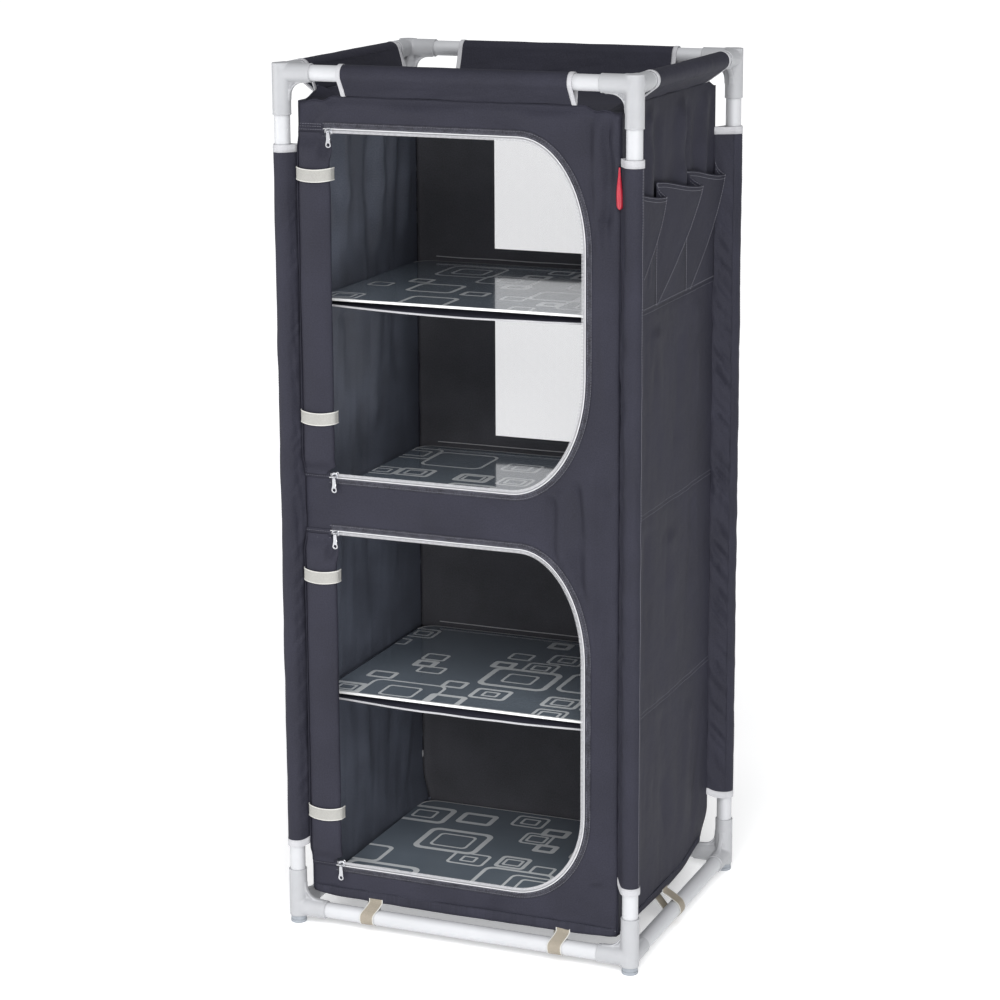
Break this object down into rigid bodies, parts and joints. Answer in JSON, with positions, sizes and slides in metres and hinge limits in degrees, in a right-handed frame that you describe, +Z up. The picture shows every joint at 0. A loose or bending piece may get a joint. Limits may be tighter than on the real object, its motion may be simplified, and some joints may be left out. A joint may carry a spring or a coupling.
{
  "type": "portable fabric wardrobe",
  "caption": "Free-standing shelved cloth cupboard hung in an aluminium tube frame with moulded corner connectors, rolled zip doors, shelf boards on slings and side pockets.",
  "frame": {"origin": "middle of the footprint, on the floor", "axes": "+Z up, front towards -Y, +X to the right of somebody who faces the front"},
  "size_m": [0.604, 0.504, 1.4],
  "materials": {
    "aluminium": "satin silver anodised",
    "connector": "fine satin light grey moulding",
    "foot": "satin grey moulding",
    "cloth": "charcoal coated polyester weave",
    "mesh": "fine white mesh",
    "board": "glossy laminate, slate grey with pale outlined squares",
    "zip": "pale nylon coil",
    "slider": "plated zinc",
    "webbing": "light beige tape",
    "tab": "plain red ribbon"
  },
  "bodies": {
    "cupboard": {"leg_front_left": "aluminium", "leg_front_right": "aluminium", "leg_back_left": "aluminium", "leg_back_right": "aluminium", "top_rail_front": "aluminium", "top_rail_back": "aluminium", "top_rail_left": "aluminium", "top_rail_right": "aluminium", "bottom_rail_front": "aluminium", "bottom_rail_back": "aluminium", "bottom_rail_left": "aluminium", "bottom_rail_right": "aluminium", "top_connector_front_left": "connector", "top_connector_front_right": "connector", "top_connector_back_left": "connector", "top_connector_back_right": "connector", "bottom_connector_front_left": "connector", "bottom_connector_front_right": "connector", "bottom_connector_back_left": "connector", "bottom_connector_back_right": "connector", "rail_sleeve_front": "cloth", "rail_sleeve_back": "cloth", "rail_sleeve_left": "cloth", "rail_sleeve_right": "cloth", "side_panel_left": "cloth", "side_panel_right": "cloth", "front_panel": "cloth", "back_panel": "cloth", "top_panel": "cloth", "floor_panel": "cloth", "mesh_window": "mesh", "shelf_sling_lower": "cloth", "shelf_sling_middle": "cloth", "shelf_sling_upper": "cloth", "zip_chain_upper": "zip", "zip_chain_lower": "zip", "door_roll_upper": "cloth", "door_roll_lower": "cloth", "door_tie_upper_top": "webbing", "door_tie_upper_bottom": "webbing", "door_tie_lower_top": "webbing", "door_tie_lower_bottom": "webbing", "side_pockets": "cloth", "side_tab": "tab"},
    "shelf_bottom": {"shelf_board_bottom": "board"},
    "shelf_lower": {"shelf_board_lower": "board"},
    "shelf_middle": {"shelf_board_middle": "board"},
    "shelf_upper": {"shelf_board_upper": "board"},
    "slider_upper_top": {"zip_slider_upper_top": "slider"},
    "pull_upper_top": {"zip_pull_upper_top": "slider"},
    "slider_upper_bottom": {"zip_slider_upper_bottom": "slider"},
    "pull_upper_bottom": {"zip_pull_upper_bottom": "slider"},
    "slider_lower_top": {"zip_slider_lower_top": "slider"},
    "pull_lower_top": {"zip_pull_lower_top": "slider"},
    "slider_lower_bottom": {"zip_slider_lower_bottom": "slider"},
    "pull_lower_bottom": {"zip_pull_lower_bottom": "slider"},
    "foot_front_left": {"foot_front_left": "foot"},
    "foot_front_right": {"foot_front_right": "foot"},
    "foot_back_left": {"foot_back_left": "foot"},
    "foot_back_right": {"foot_back_right": "foot"}
  },
  "joints": [
    {"name": "shelf_lift_bottom", "type": "slide", "parent": "cupboard", "child": "shelf_bottom", "axis": [0, 0, 1], "range_m": [0, 0.29]},
    {"name": "shelf_lift_lower", "type": "slide", "parent": "cupboard", "child": "shelf_lower", "axis": [0, 0, 1], "range_m": [0, 0.29]},
    {"name": "shelf_lift_middle", "type": "slide", "parent": "cupboard", "child": "shelf_middle", "axis": [0, 0, 1], "range_m": [0, 0.29]},
    {"name": "shelf_lift_upper", "type": "slide", "parent": "cupboard", "child": "shelf_upper", "axis": [0, 0, 1], "range_m": [0, 0.29]},
    {"name": "zip_slide_upper_top", "type": "slide", "parent": "cupboard", "child": "slider_upper_top", "axis": [1, 0, 0], "range_m": [0, 0.29]},
    {"name": "pull_swing_upper_top", "type": "hinge", "parent": "slider_upper_top", "child": "pull_upper_top", "pos_m": [-0.211, -0.23525, 1.2977], "axis": [-1, 0, 0], "range_deg": [0, 160]},
    {"name": "zip_slide_upper_bottom", "type": "slide", "parent": "cupboard", "child": "slider_upper_bottom", "axis": [1, 0, 0], "range_m": [0, 0.28]},
    {"name": "pull_swing_upper_bottom", "type": "hinge", "parent": "slider_upper_bottom", "child": "pull_upper_bottom", "pos_m": [-0.211, -0.23525, 0.7538], "axis": [-1, 0, 0], "range_deg": [0, 125]},
    {"name": "zip_slide_lower_top", "type": "slide", "parent": "cupboard", "child": "slider_lower_top", "axis": [1, 0, 0], "range_m": [0, 0.29]},
    {"name": "pull_swing_lower_top", "type": "hinge", "parent": "slider_lower_top", "child": "pull_lower_top", "pos_m": [-0.211, -0.23525, 0.6622], "axis": [-1, 0, 0], "range_deg": [0, 160]},
    {"name": "zip_slide_lower_bottom", "type": "slide", "parent": "cupboard", "child": "slider_lower_bottom", "axis": [1, 0, 0], "range_m": [0, 0.285]},
    {"name": "pull_swing_lower_bottom", "type": "hinge", "parent": "slider_lower_bottom", "child": "pull_lower_bottom", "pos_m": [-0.211, -0.23525, 0.1063], "axis": [-1, 0, 0], "range_deg": [0, 125]},
    {"name": "foot_screw_front_left", "type": "slide", "parent": "cupboard", "child": "foot_front_left", "axis": [0, 0, -1], "range_m": [0, 0.01]},
    {"name": "foot_screw_front_right", "type": "slide", "parent": "cupboard", "child": "foot_front_right", "axis": [0, 0, -1], "range_m": [0, 0.01]},
    {"name": "foot_screw_back_left", "type": "slide", "parent": "cupboard", "child": "foot_back_left", "axis": [0, 0, -1], "range_m": [0, 0.01]},
    {"name": "foot_screw_back_right", "type": "slide", "parent": "cupboard", "child": "foot_back_right", "axis": [0, 0, -1], "range_m": [0, 0.01]}
  ]
}
